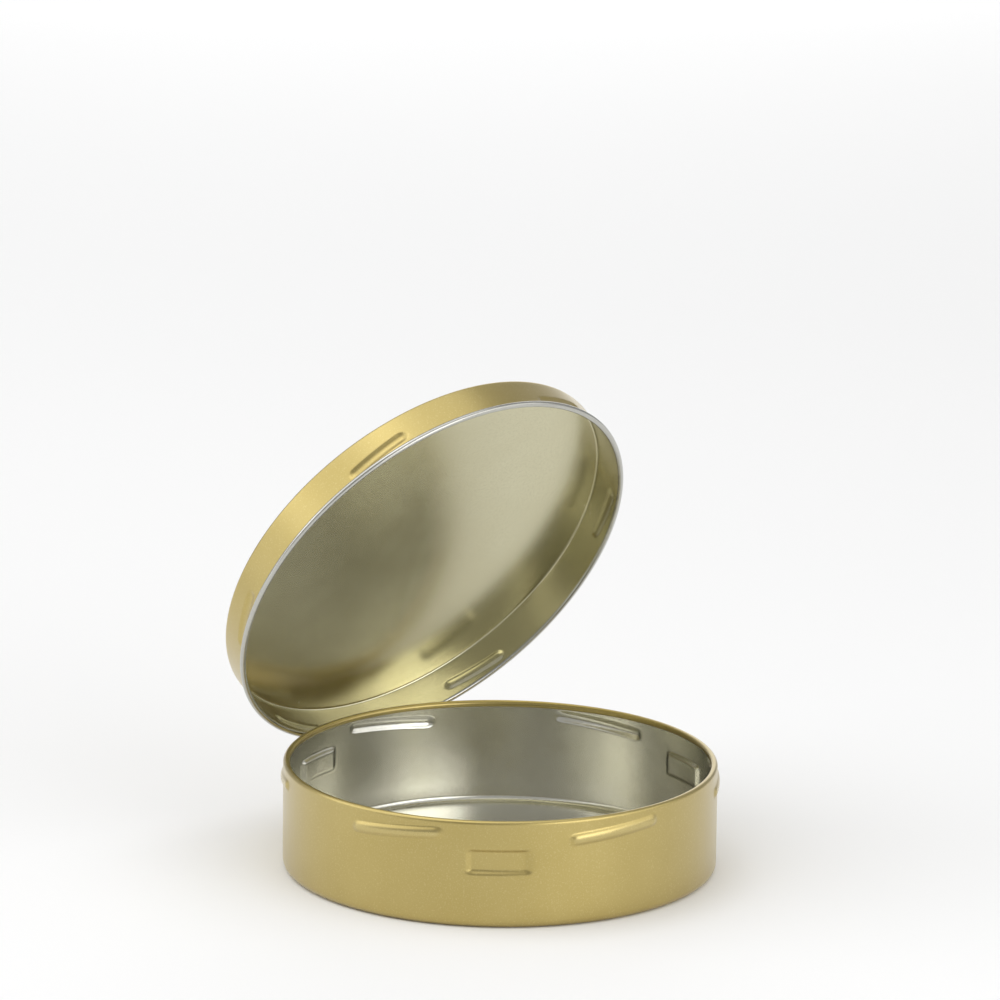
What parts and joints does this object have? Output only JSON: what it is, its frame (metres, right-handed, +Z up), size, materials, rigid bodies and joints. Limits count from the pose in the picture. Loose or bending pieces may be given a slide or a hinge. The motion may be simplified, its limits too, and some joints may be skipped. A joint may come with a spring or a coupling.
{
  "type": "round twist-lid tin",
  "caption": "Flat round drawn metal tin with slanted outside threads, rectangular pads pressed inwards and a separate skirted lid with pressed beads, tipped open.",
  "frame": {"origin": "centre of the base's underside", "axes": "+Z up out of the base's mouth, +Y towards the side of the base where the lid leans, +X along the line the lid tips about"},
  "size_m": [0.1044, 0.109, 0.1124],
  "materials": {
    "gold_lacquered_tinplate_base": "satin gold lacquer outside and on the rim curl, bare bright tinplate inside",
    "gold_lacquered_tinplate_lid": "satin gold lacquer outside, bare bright tinplate inside and on the edge curl"
  },
  "bodies": {
    "base": {"tin_base": "gold_lacquered_tinplate_base"},
    "lid": {"lid": "gold_lacquered_tinplate_lid"}
  },
  "joints": [
    {"name": "lid_tip", "type": "hinge", "parent": "base", "child": "lid", "pos_m": [0, 0.0538, 0.01825], "axis": [1, 0, 0], "range_deg": [0, 60]}
  ]
}
